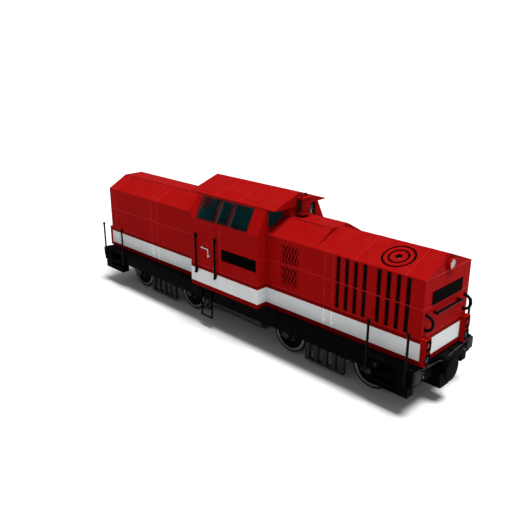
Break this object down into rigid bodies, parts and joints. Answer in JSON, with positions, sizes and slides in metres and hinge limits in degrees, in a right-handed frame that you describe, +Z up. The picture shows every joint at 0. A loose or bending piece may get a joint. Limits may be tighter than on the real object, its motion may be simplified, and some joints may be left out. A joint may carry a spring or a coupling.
{
  "type": "diesel locomotive",
  "caption": "Red diesel locomotive with a cab between two hoods, pale lower stripe, black frame, turning bogies, rolling wheelsets, side doors and roof fans.",
  "frame": {"origin": "middle of the vehicle at the foot of the wheel flanges", "axes": "+X towards the end with the roof fans, +Y to the left side, +Z up"},
  "size_m": [13.88, 3.1198, 4.644],
  "materials": {
    "body_red": "semi-gloss red enamel with a pale stripe along the lower body",
    "frame_black": "matt black chassis paint",
    "running_grey": "dark grey chassis paint",
    "wheel_steel": "worn steel tread, dark painted disc",
    "rubber_pad": "dark grey rubber",
    "plate_black": "blank black plate",
    "window_glass": "tinted safety glass",
    "lens_clear": "clear ribbed lens",
    "lens_red": "red lens",
    "cast_block": "grey painted casting",
    "core_metal": "dark cooling core and fan metal",
    "cab_interior": "matt grey lining",
    "seat_cover": "dark woven cover"
  },
  "bodies": {
    "locomotive": {"underframe": "frame_black", "corner_steps": "frame_black", "short_hood": "body_red", "long_hood_rear": "body_red", "long_hood_front": "body_red", "side_louvres": "body_red", "radiators": "core_metal", "engine_block": "cast_block", "transmission_block": "cast_block", "fan_grilles": "body_red", "fan_carriers": "core_metal", "cab_side_left": "body_red", "cab_side_right": "body_red", "cab_end_walls": "body_red", "cab_roof": "body_red", "cab_floor": "cab_interior", "control_desk": "cab_interior", "driver_seats": "seat_cover", "cab_glass": "window_glass", "roof_box": "body_red", "lamp_housings": "body_red", "lamp_lenses_clear": "lens_clear", "lamp_lenses_red": "lens_red", "number_plates": "plate_black", "corner_posts": "frame_black", "door_handrails": "frame_black", "end_handrails": "frame_black", "cab_steps": "frame_black", "fuel_tank": "running_grey", "centre_buffers": "frame_black", "side_pads": "rubber_pad"},
    "bogie_front": {"bogie_frame_front": "running_grey", "axle_boxes_front": "frame_black", "brake_shoes_front": "running_grey"},
    "bogie_rear": {"bogie_frame_rear": "running_grey", "axle_boxes_rear": "frame_black", "brake_shoes_rear": "running_grey"},
    "wheelset_1_body": {"wheelset_1": "wheel_steel"},
    "wheelset_2_body": {"wheelset_2": "wheel_steel"},
    "wheelset_3_body": {"wheelset_3": "wheel_steel"},
    "wheelset_4_body": {"wheelset_4": "wheel_steel"},
    "door_left": {"cab_door_left": "body_red"},
    "door_right": {"cab_door_right": "body_red"},
    "fan_left": {"fan_rotor_left": "core_metal"},
    "fan_right": {"fan_rotor_right": "core_metal"}
  },
  "joints": [
    {"name": "bogie_front_swivel", "type": "hinge", "parent": "locomotive", "child": "bogie_front", "pos_m": [3.657, 0, 0.95], "axis": [0, 0, 1], "range_deg": [-3, 3]},
    {"name": "bogie_rear_swivel", "type": "hinge", "parent": "locomotive", "child": "bogie_rear", "pos_m": [-3.657, 0, 0.95], "axis": [0, 0, 1], "range_deg": [-3, 3]},
    {"name": "wheelset_1_spin", "type": "hinge", "parent": "bogie_rear", "child": "wheelset_1_body", "pos_m": [-5.101, 0, 0.626], "axis": [0, 1, 0], "continuous": true},
    {"name": "wheelset_2_spin", "type": "hinge", "parent": "bogie_rear", "child": "wheelset_2_body", "pos_m": [-2.213, 0, 0.626], "axis": [0, 1, 0], "continuous": true},
    {"name": "wheelset_3_spin", "type": "hinge", "parent": "bogie_front", "child": "wheelset_3_body", "pos_m": [2.213, 0, 0.626], "axis": [0, 1, 0], "continuous": true},
    {"name": "wheelset_4_spin", "type": "hinge", "parent": "bogie_front", "child": "wheelset_4_body", "pos_m": [5.101, 0, 0.626], "axis": [0, 1, 0], "continuous": true},
    {"name": "cab_door_left_hinge", "type": "hinge", "parent": "locomotive", "child": "door_left", "pos_m": [-0.361, 1.468, 2.8], "axis": [0, 0, -1], "range_deg": [0, 85]},
    {"name": "cab_door_right_hinge", "type": "hinge", "parent": "locomotive", "child": "door_right", "pos_m": [-0.361, -1.468, 2.8], "axis": [0, 0, 1], "range_deg": [0, 85]},
    {"name": "fan_left_spin", "type": "hinge", "parent": "locomotive", "child": "fan_left", "pos_m": [5.49, 0.545, 3.75058], "axis": [0, 0.3587, 0.9335], "continuous": true},
    {"name": "fan_right_spin", "type": "hinge", "parent": "locomotive", "child": "fan_right", "pos_m": [5.49, -0.545, 3.75058], "axis": [0, -0.3587, 0.9335], "continuous": true}
  ]
}
